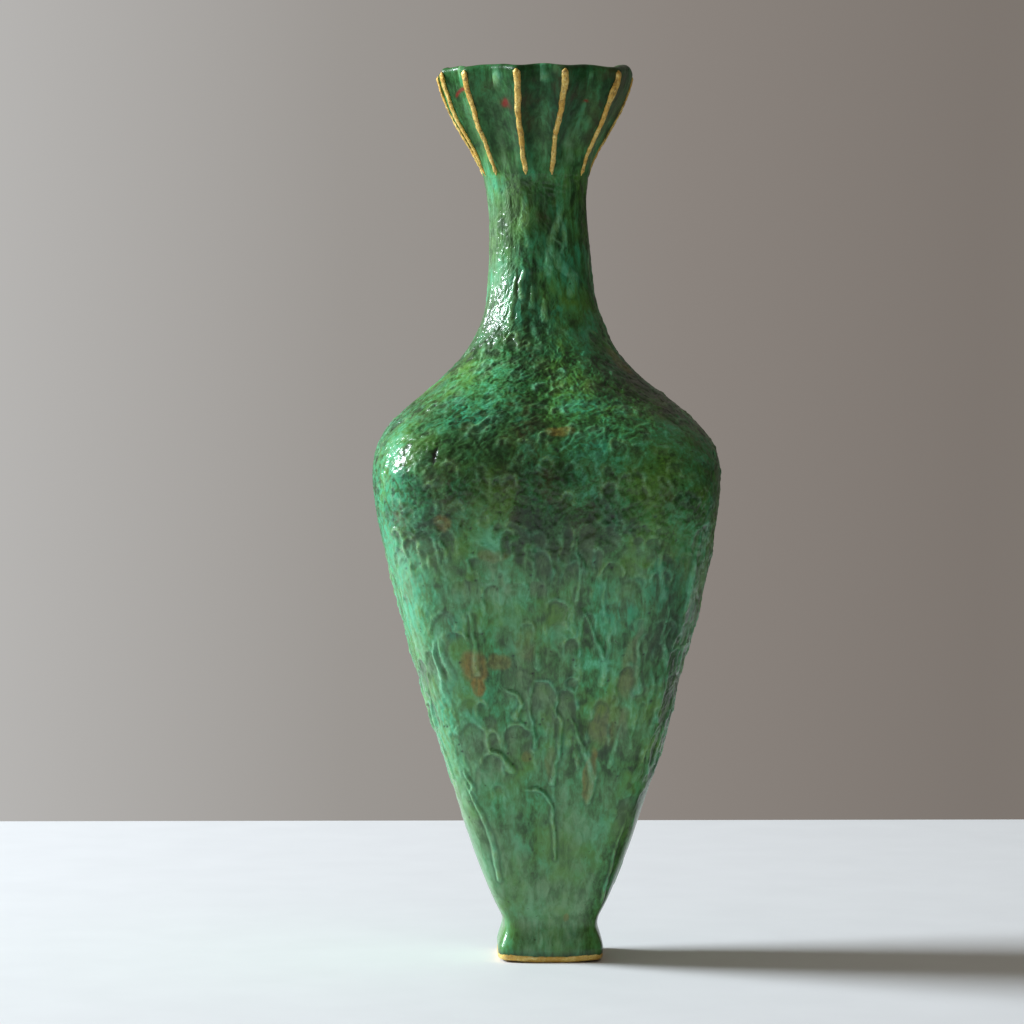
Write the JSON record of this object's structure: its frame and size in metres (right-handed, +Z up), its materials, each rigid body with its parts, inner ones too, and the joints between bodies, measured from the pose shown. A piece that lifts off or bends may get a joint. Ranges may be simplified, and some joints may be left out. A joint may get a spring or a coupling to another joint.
{
  "type": "stoneware pottery vase",
  "caption": "Tall hand-built stoneware vase with a soft-square tapered body, narrow neck, fluted trumpet mouth with gilded ribs and a flared square foot.",
  "frame": {"origin": "middle of the foot's flat underside, on the surface that the vase stands on", "axes": "+Z up the vase to its mouth, +X to the right and -Y towards the viewer, square with the foot's sides"},
  "size_m": [0.1711, 0.171, 0.44],
  "materials": {
    "green_glaze": "glossy running copper-green glaze in relief, from bottle green to turquoise with rust flecks",
    "bare_clay": "bare fired buff stoneware, matt",
    "gilding": "crinkled gold lustre, worn dark in its hollows"
  },
  "bodies": {
    "root": {"base_slab": "bare_clay", "base_gilding": "gilding", "foot_wall": "green_glaze", "lower_wall": "green_glaze", "upper_wall": "green_glaze", "shoulder": "green_glaze", "neck": "green_glaze", "mouth": "green_glaze", "rib_01": "gilding", "rib_02": "gilding", "rib_03": "gilding", "rib_04": "gilding", "rib_05": "gilding", "rib_06": "gilding", "rib_07": "gilding", "rib_08": "gilding", "rib_09": "gilding", "rib_10": "gilding", "rib_11": "gilding"}
  },
  "joints": []
}
